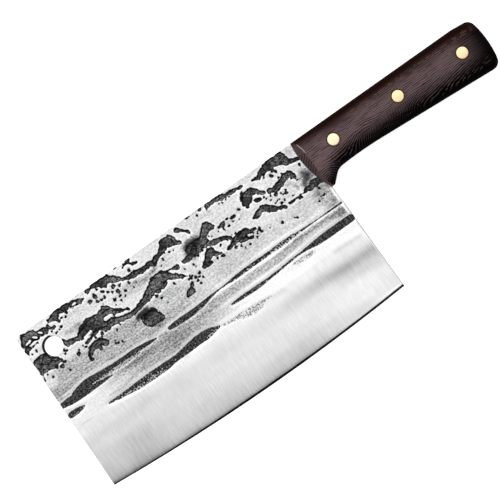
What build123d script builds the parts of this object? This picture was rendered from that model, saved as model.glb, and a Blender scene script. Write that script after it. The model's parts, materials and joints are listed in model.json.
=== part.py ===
"""Forged full-tang cleaver lying on its side: one forging, two wooden scales on thin
epoxy beds, and three two-piece brass rivets.

Millimetres. +X runs from the blade's front end to the butt of the handle, +Y from the
cutting edge to the spine, and +Z through the thickness. The origin is the centre of the
underside of the bounding box.
"""

import os
from math import atan, degrees

from build123d import *

# Blade outline. Outline points count X from the front end of the cutting edge and Y down
# from the spine.
overall_length = 336.6
blade_length = 211.0
front_height = 106.4
heel_height = 109.2
belly_height = 111.88  # halfway along the cutting edge
front_lean = 2.0  # the front end leans back by this much from edge to spine
heel_lean = 0.6
spine_corner_radius = 3.5
hang_hole_radius = 6.0
hang_hole_centre = (18.2, -17.2)

# Blade section, as thicknesses through the whole blade.
tang_thickness = 3.6
front_thickness = 2.6  # at the front end, after the distal taper
behind_edge_thickness = 0.7
edge_land = 0.04
edge_bevel_height = 1.4
grind_slope = 0.022  # half thickness gained for each millimetre up from the edge

# Handle outline.
handle_start = 203.4  # where the scales start, at the spine
front_arc_radius = 56.0  # plan radius of the scales' front end
front_arc_drop = 9.5  # from the spine to the arc's foremost point
front_slant = 4.6  # how far the front end slopes back over a scale's thickness
horn_depth = 35.6
horn_toe = (212.2, -horn_depth)
horn_root = (219.4, -28.75)
horn_root_radius = 9.0
horn_toe_rounding = 1.2
waist = (238.0, -27.9)
waist_radius = 240.0
butt_bottom = (334.3, -34.5)
butt_crown = (overall_length, -17.5)
butt_top = (334.5, -1.25)
butt_shoulder = (322, 0)

# Handle section.
scale_thickness = 9.0
bed_thickness = 0.2
palm_rounding = 8.0
butt_rounding = 5.5

# Rivets: each is a stud pressed into a tubular socket.
rivet_names = ["front", "middle", "rear"]
first_rivet = (226.7, -12.9)
rivet_pitch = 46.5
rivet_drop = 1.1
head_radius = 4.0
head_depth = 1.8
head_rim = 0.35
socket_radius = 2.5
socket_length = 12.0
socket_floor = 2.7  # solid brass between the head and the blind bore
stud_radius = 1.5
stud_length = 15.2
shank_clearance = 0.1

# Heights from the mid-plane, and places that follow from the driving dimensions.
half_tang = tang_thickness / 2
scale_inner = half_tang + bed_thickness
scale_outer = scale_inner + scale_thickness
front_centre = (handle_start + front_arc_radius, -front_arc_drop)
front_slant_angle = degrees(atan(front_slant / scale_thickness))
rivet_centres = [
    (first_rivet[0] + n * rivet_pitch, first_rivet[1] - n * rivet_drop)
    for n in range(len(rivet_names))
]
shank_hole_radius = socket_radius + shank_clearance

edge_arc = ThreePointArc(
    (0, -front_height),
    (blade_length / 2, -belly_height),
    (blade_length, -heel_height),
)
belly_depth = -edge_arc.bounding_box().min.Y
mid_plane = Plane(origin=(-overall_length / 2, belly_depth / 2, scale_outer))


def vertex_at(sketch, point):
    """The corner of a sketch nearest to a point."""
    return sketch.vertices().sort_by_distance(point)[0]


# ---- Outlines, shared by the tang, the scales and the beds ----

with BuildSketch() as grip_outline:
    with BuildLine():
        FilletPolyline(
            horn_toe,
            horn_root,
            waist,
            butt_bottom,
            radius=[horn_root_radius, waist_radius],
        )
        ThreePointArc(butt_bottom, butt_crown, butt_top)
        Polyline(
            butt_top, butt_shoulder, (handle_start, 0), (handle_start, -horn_depth), horn_toe
        )
    make_face()

with BuildSketch() as tang_outline:
    add(grip_outline.sketch)
    fillet(vertex_at(tang_outline, butt_top), radius=butt_rounding)
    fillet(vertex_at(tang_outline, butt_bottom), radius=butt_rounding)
    fillet(vertex_at(tang_outline, horn_toe), radius=horn_toe_rounding)

with BuildSketch() as blade_outline:
    with BuildLine():
        add(edge_arc)
        Polyline(
            (blade_length, -heel_height),
            (blade_length - heel_lean, -horn_depth),
            (blade_length - heel_lean, 0),
            (front_lean, 0),
            (0, -front_height),
        )
    make_face()
    fillet(vertex_at(blade_outline, (front_lean, 0)), radius=spine_corner_radius)

# Everything behind the arc of the scales' front end, well past the butt.
with BuildSketch() as behind_front:
    with Locations(front_centre):
        Circle(front_arc_radius)
        Rectangle(blade_length, 2 * front_arc_radius, align=(Align.MIN, Align.CENTER))

# ---- Forging: blade and full tang in one solid ----

# A section through the grind, turned about the centre of the cutting edge's arc, so that
# the bevels keep their heights all along the curved edge.
edge_radius = edge_arc.radius
grind_reach = 150.0
section_plane = Plane(
    origin=mid_plane.from_local_coords(edge_arc.arc_center),
    x_dir=(1, 0, 0),
    z_dir=(0, -1, 0),
)
half_behind_edge = behind_edge_thickness / 2
half_at_reach = half_behind_edge + grind_slope * grind_reach

with BuildSketch(section_plane) as grind_section:
    with BuildLine():
        Polyline(
            (0, half_at_reach),
            (edge_radius - edge_bevel_height - grind_reach, half_at_reach),
            (edge_radius - edge_bevel_height, half_behind_edge),
            (edge_radius, edge_land / 2),
            (edge_radius, -edge_land / 2),
            (edge_radius - edge_bevel_height, -half_behind_edge),
            (edge_radius - edge_bevel_height - grind_reach, -half_at_reach),
            (0, -half_at_reach),
            close=True,
        )
    make_face()

taper = (tang_thickness - front_thickness) / 2 / handle_start

with BuildPart() as forging:
    with BuildSketch(mid_plane):
        add(blade_outline.sketch)
        add(tang_outline.sketch)
    extrude(amount=half_tang, both=True)
    for side in (1, -1):
        face_plane = Plane(
            origin=mid_plane.from_local_coords((handle_start, 0, side * half_tang)),
            x_dir=(0, 1, 0),
            z_dir=(-taper, 0, side),
        )
        split(bisect_by=face_plane, keep=Keep.BOTTOM)
    revolve(
        grind_section.sketch.faces(),
        axis=Axis(section_plane.origin, (0, 0, 1)),
        mode=Mode.INTERSECT,
    )
    with Locations(mid_plane):
        with Locations(hang_hole_centre):
            Hole(hang_hole_radius)
        with Locations(*rivet_centres):
            Hole(shank_hole_radius)

# ---- Scales: the upper one as it lies, and its mirror image ----

with BuildPart() as upper_scale:
    with BuildSketch(mid_plane.offset(scale_inner)):
        add(grip_outline.sketch)
    extrude(amount=scale_thickness)
    palm_edges = upper_scale.faces().sort_by(Axis.Z)[-1].edges()
    butt_edge = palm_edges.sort_by(Axis.X)[-1]
    front_edge = palm_edges.sort_by(Axis.X)[0]
    toe_edge = palm_edges.sort_by(Axis.Y)[0]
    fillet(palm_edges - [butt_edge, front_edge, toe_edge], radius=palm_rounding)
    butt_edges = upper_scale.faces().sort_by(Axis.X)[-1].edges()
    fillet(butt_edges - [butt_edges.sort_by(Axis.Z)[0]], radius=butt_rounding)
    toe_corner = mid_plane.from_local_coords((*horn_toe, scale_inner))
    upright_edges = upper_scale.edges().filter_by(Axis.Z)
    fillet(upright_edges.sort_by_distance(toe_corner)[0], radius=horn_toe_rounding)
    with BuildSketch(mid_plane.offset(scale_inner)):
        add(behind_front.sketch)
    extrude(amount=scale_thickness, taper=front_slant_angle, mode=Mode.INTERSECT)
    with Locations(mid_plane.offset(scale_outer)):
        with Locations(*rivet_centres):
            CounterBoreHole(shank_hole_radius, head_radius, head_depth)

with BuildPart() as lower_scale:
    mirror(upper_scale.part, about=mid_plane)

# ---- Epoxy beds between the tang and the scales ----

with BuildPart() as upper_bed:
    with BuildSketch(mid_plane.offset(half_tang)):
        add(tang_outline.sketch)
        add(behind_front.sketch, mode=Mode.INTERSECT)
        with Locations(*rivet_centres):
            Circle(shank_hole_radius, mode=Mode.SUBTRACT)
    extrude(amount=bed_thickness)

with BuildPart() as lower_bed:
    mirror(upper_bed.part, about=mid_plane)

# ---- Rivets: a socket from below and a stud from above, at each centre ----

rivet_halves = {}
for rivet_name, centre in zip(rivet_names, rivet_centres):
    below = mid_plane.offset(-scale_outer)
    with BuildPart() as socket:
        with BuildSketch(below):
            with Locations(centre):
                Circle(head_radius)
        extrude(amount=head_depth)
        fillet(socket.edges().sort_by(Axis.Z)[0], radius=head_rim)
        with BuildSketch(below.offset(head_depth)):
            with Locations(centre):
                Circle(socket_radius)
        extrude(amount=socket_length)
        with BuildSketch(below.offset(head_depth + socket_floor)):
            with Locations(centre):
                Circle(stud_radius)
        extrude(amount=socket_length, mode=Mode.SUBTRACT)
    above = mid_plane.offset(scale_outer)
    with BuildPart() as stud:
        with BuildSketch(above):
            with Locations(centre):
                Circle(head_radius)
        extrude(amount=-head_depth)
        fillet(stud.edges().sort_by(Axis.Z)[-1], radius=head_rim)
        with BuildSketch(above.offset(-head_depth)):
            with Locations(centre):
                Circle(stud_radius)
        extrude(amount=-stud_length)
    rivet_halves[f"{rivet_name}_rivet_socket"] = socket
    rivet_halves[f"{rivet_name}_rivet_stud"] = stud

# ---- One STEP file for each piece ----

pieces = {
    "blade_and_tang": forging,
    "upper_scale": upper_scale,
    "lower_scale": lower_scale,
    "upper_epoxy_bed": upper_bed,
    "lower_epoxy_bed": lower_bed,
    **rivet_halves,
}
os.makedirs("parts", exist_ok=True)
for piece_name, piece in pieces.items():
    piece.part.label = piece_name
    export_step(piece.part, f"parts/{piece_name}.step")
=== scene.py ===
"""A forged cleaver lying on a white floor: the looks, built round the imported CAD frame.

Shapes are worked out in millimetres in the frame's own axes: X from the front of the blade
to the butt of the handle, Y from the cutting edge to the spine, Z up. Marks on the blade
are placed in millimetres back from the front of the edge and down from the spine.
"""

import json
import math

import bmesh
import bpy
import numpy as np
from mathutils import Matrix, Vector
from mathutils.bvhtree import BVHTree
from mathutils.geometry import delaunay_2d_cdt


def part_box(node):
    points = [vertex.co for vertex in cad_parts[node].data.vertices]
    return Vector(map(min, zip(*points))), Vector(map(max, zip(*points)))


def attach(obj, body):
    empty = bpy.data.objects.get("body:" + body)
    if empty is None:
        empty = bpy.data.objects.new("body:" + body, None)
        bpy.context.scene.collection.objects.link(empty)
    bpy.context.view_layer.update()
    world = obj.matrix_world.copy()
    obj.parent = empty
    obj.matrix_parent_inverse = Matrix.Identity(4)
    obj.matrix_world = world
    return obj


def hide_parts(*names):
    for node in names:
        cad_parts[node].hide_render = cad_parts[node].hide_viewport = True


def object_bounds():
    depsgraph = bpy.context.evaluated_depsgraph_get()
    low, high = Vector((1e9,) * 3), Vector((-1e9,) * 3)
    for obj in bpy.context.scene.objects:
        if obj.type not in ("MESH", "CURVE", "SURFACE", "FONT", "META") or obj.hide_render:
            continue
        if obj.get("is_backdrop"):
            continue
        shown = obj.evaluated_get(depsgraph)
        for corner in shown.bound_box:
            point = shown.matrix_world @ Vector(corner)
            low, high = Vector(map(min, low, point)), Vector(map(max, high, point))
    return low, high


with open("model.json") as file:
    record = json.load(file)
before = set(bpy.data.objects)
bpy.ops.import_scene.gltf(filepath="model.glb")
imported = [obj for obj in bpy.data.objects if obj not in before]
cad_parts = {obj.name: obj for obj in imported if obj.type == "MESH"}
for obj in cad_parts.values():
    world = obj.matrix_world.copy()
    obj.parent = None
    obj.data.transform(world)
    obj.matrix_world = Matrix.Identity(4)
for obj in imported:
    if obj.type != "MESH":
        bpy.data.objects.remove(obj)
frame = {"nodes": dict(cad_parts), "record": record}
cad_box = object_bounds()

MM = 0.001

# ---- Places that come from the frame, in mm ----


def box_mm(node):
    """Lowest and highest corner of a CAD node."""
    low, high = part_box(node)
    return np.array(low) / MM, np.array(high) / MM


blade_low, blade_high = box_mm("blade_and_tang")
scale_low, scale_high = box_mm("upper_scale")
FRONT_X = blade_low[0]
SPINE_Y = blade_high[1]
MID_Z = (blade_low[2] + blade_high[2]) / 2
SCALE_INNER = scale_low[2] - MID_Z
SCALE_THICKNESS = scale_high[2] - scale_low[2]
RIVETS = ("front", "middle", "rear")
RIVET_CENTRES = {
    name: (np.add(*box_mm(name + "_rivet_stud")) / 2)[:2] for name in RIVETS
}
RIVET_RADIUS = (box_mm("front_rivet_stud")[1] - box_mm("front_rivet_stud")[0])[0] / 2
HANG_HOLE = next(m for m in frame["record"]["mounts"] if m["name"] == "hang_hole")
HOLE_CENTRE = np.array(HANG_HOLE["pos_m"][:2]) / MM
HOLE_RADIUS = HANG_HOLE["dims"]["r_mm"]
HOLE_ON_BLADE = HOLE_CENTRE * (1, -1) + (-FRONT_X, SPINE_Y)


def to_blade(points):
    """Frame X and Y to millimetres back from the front and down from the spine."""
    return np.column_stack([points[:, 0] - FRONT_X, SPINE_Y - points[:, 1]])


def from_blade(x, y):
    """Millimetres back from the front and down from the spine to frame X and Y."""
    return np.array([x + FRONT_X, SPINE_Y - y])


# ---- Plan geometry ----


def plan_loops(node):
    """A CAD node's outlines seen from above, the outer one first, as lists of points."""
    mesh = frame["nodes"][node].data
    keys = [(round(v.co.x / MM, 3), round(v.co.y / MM, 3)) for v in mesh.vertices]
    directed = set()
    for face in mesh.polygons:
        if face.normal.z > 0.5:
            corners = [keys[i] for i in face.vertices]
            directed.update(zip(corners, corners[1:] + corners[:1]))
    following = {a: b for a, b in directed if (b, a) not in directed and a != b}
    loops = []
    while following:
        start, point = following.popitem()
        loop = [start]
        while point != start:
            loop.append(point)
            point = following.pop(point)
        loops.append(np.array(loop))
    return sorted(loops, key=lambda loop: -np.ptp(loop[:, 0]))


def divided(loop, step):
    """A closed loop with its long sides divided into lengths of at most step."""
    points = []
    for a, b in zip(loop, np.roll(loop, -1, axis=0)):
        count = max(1, math.ceil(np.linalg.norm(b - a) / step))
        points += [a + (b - a) * i / count for i in range(count)]
    return np.array(points)


def circle(centre, radius, count):
    """Points round a circle."""
    angles = np.arange(count) * 2 * math.pi / count
    return centre + radius * np.column_stack([np.cos(angles), np.sin(angles)])


def circle_through(a, b, c):
    """Centre and radius of the circle through three points."""
    a, b, c = (np.array(p, float) for p in (a, b, c))
    centre = np.linalg.solve(2 * np.array([b - a, c - a]), [b @ b - a @ a, c @ c - a @ a])
    return centre, np.linalg.norm(a - centre)


def clear_of(points, centres, gap):
    """Whether each point is further than gap from every centre."""
    return np.min([np.hypot(*(points - centre).T) for centre in centres], axis=0) > gap


def distance_to(points, path, closed=True):
    """Distance from each point to a path of straight runs."""
    count = len(path)
    corners = [(x, y, z) for z in (-1, 1) for x, y in path]
    strips = []
    for i in range(count if closed else count - 1):
        j = (i + 1) % count
        strips.append((i, j, j + count, i + count))
    tree = BVHTree.FromPolygons(corners, strips)
    return np.array([tree.find_nearest((x, y, 0))[3] for x, y in points])


def inset_rings(loop, insets):
    """Points at each inset inside a counter-clockwise loop."""
    tangents = np.roll(loop, -1, axis=0) - np.roll(loop, 1, axis=0)
    tangents /= np.linalg.norm(tangents, axis=1)[:, None]
    inward = np.column_stack([-tangents[:, 1], tangents[:, 0]])
    rings = []
    for inset in insets:
        ring = loop + inward * inset
        rings.append(ring[distance_to(ring, loop) > inset * 0.93])
    return np.concatenate(rings)


def hexagonal(low, high, step):
    """Points of a grid of equal triangles that fills a box."""
    rise = step * math.sqrt(3) / 2
    rows = np.arange(low[1], high[1], rise)
    shifts = (np.arange(len(rows)) % 2) * step / 2
    columns = np.arange(low[0], high[0], step)
    return np.column_stack(
        [(columns[None] + shifts[:, None]).ravel(), np.repeat(rows, len(columns))]
    )


def inside(points, loop):
    """Whether each point is inside a loop."""
    result = np.zeros(len(points), bool)
    x, y = points[:, 0], points[:, 1]
    for (ax, ay), (bx, by) in zip(loop, np.roll(loop, -1, axis=0)):
        if ay != by:
            crosses = (ay > y) != (by > y)
            result ^= crosses & (x < (bx - ax) * (y - ay) / (by - ay) + ax)
    return result


def triangulate(loops, filling):
    """Triangles between closed loops, with the filling points inside them. The points
    come back in order: each loop, then the filling."""
    points = np.concatenate([*loops, filling])
    edges, first = [], 0
    for loop in loops:
        ids = np.arange(first, first + len(loop))
        edges += zip(ids.tolist(), np.roll(ids, -1).tolist())
        first += len(loop)
    found = delaunay_2d_cdt([Vector(p) for p in points], edges, [], 1, 1e-7, False)
    if len(found[0]) != len(points):
        raise ValueError("two points of an outline coincide")
    faces = np.array(found[2])
    centres = points[faces].mean(1)
    keep = inside(centres, loops[0])
    for hole in loops[1:]:
        keep &= ~inside(centres, hole)
    return points, faces[keep]


def build(name, points, faces, attributes=None):
    """A mesh object from points in mm and faces of three or four corners."""
    mesh = bpy.data.meshes.new(name)
    mesh.from_pydata((points * MM).tolist(), [], faces)
    for key, values in (attributes or {}).items():
        layer = mesh.attributes.new(key, "FLOAT", "POINT")
        layer.data.foreach_set("value", values.astype(np.float32))
    work = bmesh.new()
    work.from_mesh(mesh)
    bmesh.ops.recalc_face_normals(work, faces=work.faces)
    work.to_mesh(mesh)
    work.free()
    mesh.shade_smooth()
    piece = bpy.data.objects.new(name, mesh)
    bpy.context.scene.collection.objects.link(piece)
    return piece


def slab(outline, top, bottom, wall=()):
    """Points and faces of a closed slab. top and bottom are (holes, filling, height):
    height gives Z at plan points, and each hole of one face has its partner in the
    other. wall gives the fractions of the way down at which the sides have a row."""
    points, faces, rims = [], [], []
    count = 0
    for (holes, filling, height), up in ((top, True), (bottom, False)):
        plan, triangles = triangulate([outline, *holes], filling)
        points.append(np.column_stack([plan, height(plan)]))
        faces += (triangles[:, ::1 if up else -1] + count).tolist()
        sizes = [len(loop) for loop in (outline, *holes)]
        starts = count + np.cumsum([0, *sizes[:-1]])
        rims.append([np.arange(s, s + n) for s, n in zip(starts, sizes)])
        count += len(plan)
    every = np.concatenate(points)
    for upper, lower in zip(*rims):
        rows = [upper]
        for share in wall if upper is rims[0][0] else ():
            row = every[upper] * (1 - share) + every[lower] * share
            rows.append(np.arange(count, count + len(row)))
            points.append(row)
            count += len(row)
        rows.append(lower)
        for above, below in zip(rows, rows[1:]):
            quads = np.column_stack(
                [above, below, np.roll(below, -1), np.roll(above, -1)]
            )
            faces += quads.tolist()
    return np.concatenate(points), faces


# ---- Smooth random fields ----


def noise(points, cell, seed):
    """Smooth noise from -1 to 1, with one random value to each cell of that many mm."""
    lattice = np.random.default_rng(seed).uniform(-1, 1, (256, 256))
    grid = points / cell
    base = np.floor(grid).astype(int)
    part = grid - base
    part = part * part * (3 - 2 * part)
    corner = [
        [lattice[(base[:, 0] + i) % 256, (base[:, 1] + j) % 256] for j in (0, 1)]
        for i in (0, 1)
    ]
    left = corner[0][0] * (1 - part[:, 1]) + corner[0][1] * part[:, 1]
    right = corner[1][0] * (1 - part[:, 1]) + corner[1][1] * part[:, 1]
    return left * (1 - part[:, 0]) + right * part[:, 0]


def smoothstep(values, low, high):
    """Smooth step from 0 at low to 1 at high, where high may be the smaller."""
    t = np.clip((values - low) / (high - low), 0, 1)
    return t * t * (3 - 2 * t)


def band(values, start, end, soft):
    """1 between start and end and 0 outside, with borders that wide."""
    half = soft / 2
    started = smoothstep(values, start - half, start + half)
    return started - smoothstep(values, end - half, end + half)


# ---- Marks on the blade, in mm back from the front and down from the spine ----

# Hollows with black forging scale in them. Each is a chain of (x, y, radius).
SCALE_HOLLOWS = [
    # along the spine
    [(4, 7, 1.5), (7, 3.5, 2.7), (10, 3.6, 2.8), (14, 5.8, 2.2), (19, 6.6, 2.1)],
    [(3.9, 9.8, 1.6), (8, 10.2, 0.9), (11, 9.8, 0.5)],
    [(6, 7.6, 1.6), (9, 7.6, 1.1), (13, 7.6, 0.8)],
    [(3, 11, 0.7), (2.9, 13.2, 0.6), (4.8, 13.8, 0.5)],
    [(25, 3.6, 1.6), (29, 2.8, 2.2), (35, 2.3, 1.8), (41, 2.3, 1.5), (46, 4, 1.4),
     (49.5, 4.3, 0.5)],
    [(28.5, 4.5, 1.2), (29.7, 7.4, 1.2)],
    [(40, 4, 0.7), (46, 5, 0.8)],
    [(22.3, 5.5, 0.5), (23.4, 7.6, 0.7), (25.5, 8, 1.1)],
    [(53.5, 2.2, 1.3), (57.5, 1.6, 1.3), (63, 2.2, 1.9), (67, 3, 2.6), (71.5, 5.8, 1.7),
     (75, 8.3, 0.9)],
    [(75, 8.3, 0.9), (80, 9.6, 1.5), (87, 10.5, 1.5), (93, 10.2, 1.1), (98, 10.5, 1.6)],
    [(63, 4.5, 1.3), (64, 5.6, 0.8)],
    [(93, 11.5, 0.9), (96.5, 12.3, 0.9)],
    [(98, 9.8, 0.9), (103, 8.6, 0.9), (104.5, 7.8, 1.6), (108, 5.3, 3.3), (112, 5.6, 3.4)],
    [(114, 8.5, 0.8), (115.7, 10, 0.8)],
    [(118.2, 3, 1.1), (120, 4.6, 0.9), (123.2, 7.2, 0.9), (123.9, 9, 0.8)],
    [(79, 2.9, 0.6), (80.5, 1.6, 0.9), (83, 2, 0.8), (85, 4, 0.8), (88, 5, 0.6)],
    [(82.5, 0.5, 0.4), (84.5, 0.6, 0.5)],
    [(74, 0.4, 0.3), (76, 0.5, 0.3)],
    [(141.5, 1.5, 1.1), (146, 1.2, 1.1), (151.5, 2.3, 1.5), (157, 3.2, 1),
     (163, 3.6, 0.6), (166, 4.1, 0.6)],
    [(194.8, 2.4, 2.2), (197, 5.4, 1)],
    [(172.5, 5, 0.3), (176.5, 5.6, 1.1), (180, 3.8, 1.7), (184, 2.8, 2.8),
     (189.5, 2.8, 2.8), (194, 3.8, 3.4)],
    [(194, 3.8, 3.4), (195.4, 7.4, 2), (199.6, 9.2, 1.4), (204, 10.6, 0.9)],
    # below and behind the hanging hole
    [(5, 20, 2.6), (9.5, 19.7, 2.6), (8, 24, 3.4), (13.5, 25, 2.8), (16.5, 26.3, 1.2)],
    [(5.4, 26.4, 1.8), (10.4, 26.8, 1.8)],
    [(3.6, 24, 1.6), (3, 28, 0.9), (2.2, 31.5, 0.5)],
    [(24.8, 17.5, 0.7), (25.8, 20.3, 1), (31, 21, 1), (33.5, 21.8, 1.7)],
    [(26, 21.5, 0.8), (29.5, 22, 0.7)],
    # the ranges of long hollows across the middle
    [(33.5, 21.8, 1.7), (38, 19.8, 2.4), (44, 18.8, 3.4), (50, 19.8, 3.2), (55.5, 18.8, 3.7)],
    [(55.5, 18.8, 3.7), (60, 20.8, 1.5), (64, 23.5, 1), (68, 25.2, 0.5)],
    [(58.9, 20, 1.3), (59, 25, 1.2)],
    [(33, 23, 0.8), (45, 22.5, 1.6), (53, 24, 2.6), (58, 26.5, 2.2), (63, 27.8, 1.6),
     (68.5, 28.9, 1.6)],
    [(35.7, 27.2, 1.1), (40, 26, 1), (46, 24.6, 1), (50, 26.5, 1.5), (54, 27.3, 1)],
    [(32, 36.3, 0.5), (33.4, 34.4, 1.2), (35.6, 32.2, 1.9), (39.2, 30.9, 2.2),
     (43, 31.6, 2.1), (45, 34.2, 1.6)],
    [(40, 33, 1), (41, 35.2, 0.7)],
    [(66, 28.6, 1.2), (71, 28.2, 1.4), (75.5, 27.2, 1.9), (80, 26, 2.4), (86, 23.4, 2.8),
     (90.5, 21.4, 3.7)],
    [(90.5, 21.4, 3.7), (95.4, 20.3, 3.2), (98.4, 22, 2.5), (101, 24.8, 2), (105, 27.6, 1.2)],
    [(105, 27.6, 1.2), (108, 28.9, 0.6)],
    [(88, 25.5, 1.2), (89, 27.3, 0.9)],
    [(92.5, 25.8, 1.2), (95.5, 25, 0.7)],
    [(99.6, 19.9, 0.8), (103, 20.4, 0.8), (106.2, 21.5, 1.6)],
    [(73.2, 35.6, 2.6), (78.4, 35, 2.6), (80, 38.4, 2.6), (75.4, 38.8, 3.2), (81.8, 40.6, 1.3)],
    [(73.4, 39, 2.6), (76, 40.2, 2.2)],
    [(101.6, 39.4, 1), (103.8, 38, 1.7), (106, 38.6, 1.5)],
    [(105.5, 36.8, 0.5), (107.5, 35, 0.7), (108.2, 33.6, 0.4)],
    [(118.6, 17, 3), (123, 17, 3.4), (127.5, 17.6, 2.2)],
    [(120.4, 19, 2.6), (123, 20.4, 2.3)],
    [(127.5, 17.6, 1.8), (131, 13.8, 1.8), (134.6, 11.8, 3), (137, 14, 1.4)],
    [(110.4, 20.4, 0.7), (113, 21.2, 1.5), (117, 20.5, 1.8)],
    [(120.5, 21, 2), (120.6, 23.3, 0.8)],
    [(127, 19.8, 1.4), (131, 21, 1.3), (133.5, 22.2, 1.6), (138, 23.2, 1.1), (142, 25.1, 0.9)],
    [(119.3, 30.6, 1.2), (124, 31.2, 0.8)],
    [(121.5, 29.3, 1.3), (125, 27, 2.3), (127.4, 25.6, 2.8), (129.4, 28, 1.6), (132.5, 29.8, 0.5)],
    [(119.4, 30.6, 1.4), (124, 30.6, 1.2)],
    [(138, 30.2, 0.8), (142, 28.9, 1.4), (147, 27.9, 2), (152, 27.6, 2.1),
     (155, 29.3, 1.3), (157.5, 29.8, 0.6)],
    [(147, 31, 1.2), (150.5, 31.3, 1.1), (153.3, 32.6, 0.8)],
    [(140.5, 16.2, 0.9), (143, 16.2, 1.2), (145, 15.2, 0.5), (148, 14.8, 0.4)],
    [(150.2, 16.4, 0.8), (152.4, 15.9, 1.1)],
    [(160.8, 14, 1.7), (163.4, 11.2, 3.6), (167.4, 10.2, 3), (170.6, 11.8, 2), (174.5, 14.6, 1.3)],
    [(161.8, 15.8, 1.2), (163.6, 14.6, 1.6)],
    [(168, 16.3, 1.1), (170, 16.3, 1)],
    [(177.5, 16, 1.8), (180, 16.6, 1.4), (183, 16.9, 2), (187, 15.8, 2.1), (190.5, 14.3, 2.2)],
    [(190.5, 14, 2.1), (193, 14, 2.1), (194, 16.6, 1.8), (194.8, 18.2, 0.6)],
    [(159.8, 23.9, 0.5), (164, 23.2, 1.4), (168.5, 22.2, 1.9), (171.3, 24.6, 2.1),
     (174.5, 26.4, 1.2)],
    [(174.5, 26.4, 1.2), (178, 28.2, 0.9), (180.6, 29.6, 0.4)],
    [(183.5, 29.3, 0.7), (187, 29.1, 0.7), (191.5, 28.9, 0.4)],
    [(189.8, 30.2, 0.4), (191.8, 30.4, 0.5)],
    [(194, 29, 0.6), (197, 28, 1.7), (201.5, 27.8, 2.2), (206, 27.6, 2.4)],
]

# Small pits of the same black scale.
SCALE_PITS = [
    (34.5, 7, 0.7), (36, 5, 0.6), (32, 6.3, 0.6), (28.8, 10.5, 0.7), (27, 11, 0.4),
    (24.5, 11.8, 0.6), (22.3, 9.6, 0.5), (8.2, 14, 0.6), (15.4, 30.2, 1.1), (17.9, 28.9, 1),
    (7.2, 32, 0.6), (18.2, 34.5, 0.6), (12.8, 29, 0.6), (5.6, 29.2, 0.5), (41.7, 27.6, 0.6),
    (45.3, 29.5, 0.5), (46.5, 28, 0.8), (49, 28, 0.7), (51.5, 28, 0.5), (29.3, 28, 0.5),
    (32.8, 27, 0.5), (28, 29.8, 1), (33.6, 28.8, 0.6), (58.5, 29.4, 0.6), (21.8, 22.8, 0.6),
    (23, 24, 0.5), (21.2, 25, 0.6), (32.6, 36.8, 0.9), (54, 39, 0.7), (49.6, 37.4, 0.5),
    (51.2, 38.2, 0.6), (50, 36, 0.3), (54.8, 31.3, 0.5), (65.4, 35, 0.3), (51.5, 8.2, 1.3),
    (55.8, 7.6, 1.2), (55.4, 6, 0.6), (55, 10.6, 0.8), (58, 11, 0.7), (60.3, 11.3, 0.9),
    (61.2, 7.6, 0.8), (63.4, 9.8, 0.7), (59, 4.5, 0.8), (65.8, 11.3, 0.7), (68, 8.5, 1.2),
    (71.6, 10, 0.8), (68.8, 12.6, 1.2), (64.2, 15.6, 1), (68, 15.6, 0.7), (72.5, 15, 0.7),
    (63.4, 18.7, 0.3), (67.3, 18.2, 0.6), (71, 17.5, 0.5), (76.6, 12, 0.5), (77.2, 13, 0.5),
    (78, 16.3, 0.6), (81.4, 6.3, 0.8), (57.2, 14.2, 0.3), (86.2, 28.5, 0.9), (99, 28.3, 0.7),
    (109.2, 30, 0.4), (110.7, 30.7, 0.4), (107.6, 31.5, 0.4), (109.3, 31.5, 0.6), (88, 31, 0.3),
    (89.2, 35.4, 0.4), (111.8, 32.6, 0.8), (113.6, 33.8, 0.6), (115.3, 32, 0.8), (111.8, 35.2, 0.6),
    (115.3, 35.3, 0.7), (112.4, 37.5, 0.5), (99, 15.3, 0.5), (104.5, 10.3, 0.4), (102, 12.7, 0.6),
    (107.5, 11.2, 0.6), (110, 11.6, 0.4), (126.8, 23, 0.5), (129, 30.8, 0.6), (132.8, 31.6, 1.1),
    (115, 25.6, 0.5), (115.6, 27.5, 0.4), (109.3, 25, 0.4), (135, 25.4, 0.6), (132, 17.3, 0.4),
    (133.4, 18.3, 0.3), (136.6, 0.9, 1), (133.6, 2.5, 0.7), (127.3, 0.6, 0.6), (129, 0.4, 0.4),
    (140.3, 3.6, 0.3), (148.6, 5.2, 0.4), (150.4, 5.4, 0.5), (153.4, 5, 0.4), (156, 5.2, 0.4),
    (156.2, 14.5, 0.7), (138.6, 18, 0.4), (142.4, 19.2, 0.6), (145.6, 19, 0.7), (149.6, 18.3, 0.5),
    (153, 19, 0.3), (143.6, 24.7, 0.4), (140.3, 25.8, 0.5), (146.5, 25, 0.4), (142, 32, 0.8),
    (144.8, 33.3, 0.6), (159.3, 31.2, 0.9), (160.2, 33, 0.8), (157.4, 32.3, 0.5), (156, 34.2, 0.7),
    (146.2, 35.6, 0.4), (149.8, 35.4, 0.6), (172.5, 17.2, 0.6), (173.5, 18.7, 0.3), (163.4, 7, 0.6),
    (176.5, 18.4, 0.6), (179.6, 19.8, 1.1), (175.3, 20.8, 0.4), (182.8, 21.2, 0.6),
    (183.4, 22.2, 0.5), (185.4, 22.6, 0.9), (185.6, 21.3, 0.5), (178, 23.2, 0.4), (176.6, 24, 0.5),
    (179.6, 23.5, 0.5), (181.7, 25.5, 0.6), (179.7, 26.3, 0.8), (187.6, 26.3, 0.4),
    (195.3, 20.4, 0.6), (162.2, 25.2, 0.4), (203, 32, 0.8), (201, 36.7, 0.4), (203, 36.6, 0.8),
    (198.6, 38.2, 0.6), (173, 36, 0.7), (181, 38, 0.4), (182.3, 38.5, 0.6), (186.4, 6.6, 1.2),
    (187.6, 8.6, 0.8), (183.7, 9, 1.1), (180.2, 6, 0.6), (179.4, 7.5, 0.5), (189.5, 11.4, 0.5),
    (186.7, 12.6, 0.4), (201.5, 13.4, 0.8), (184.8, 14.7, 0.3), (165.4, 34, 0.3),
]

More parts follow.
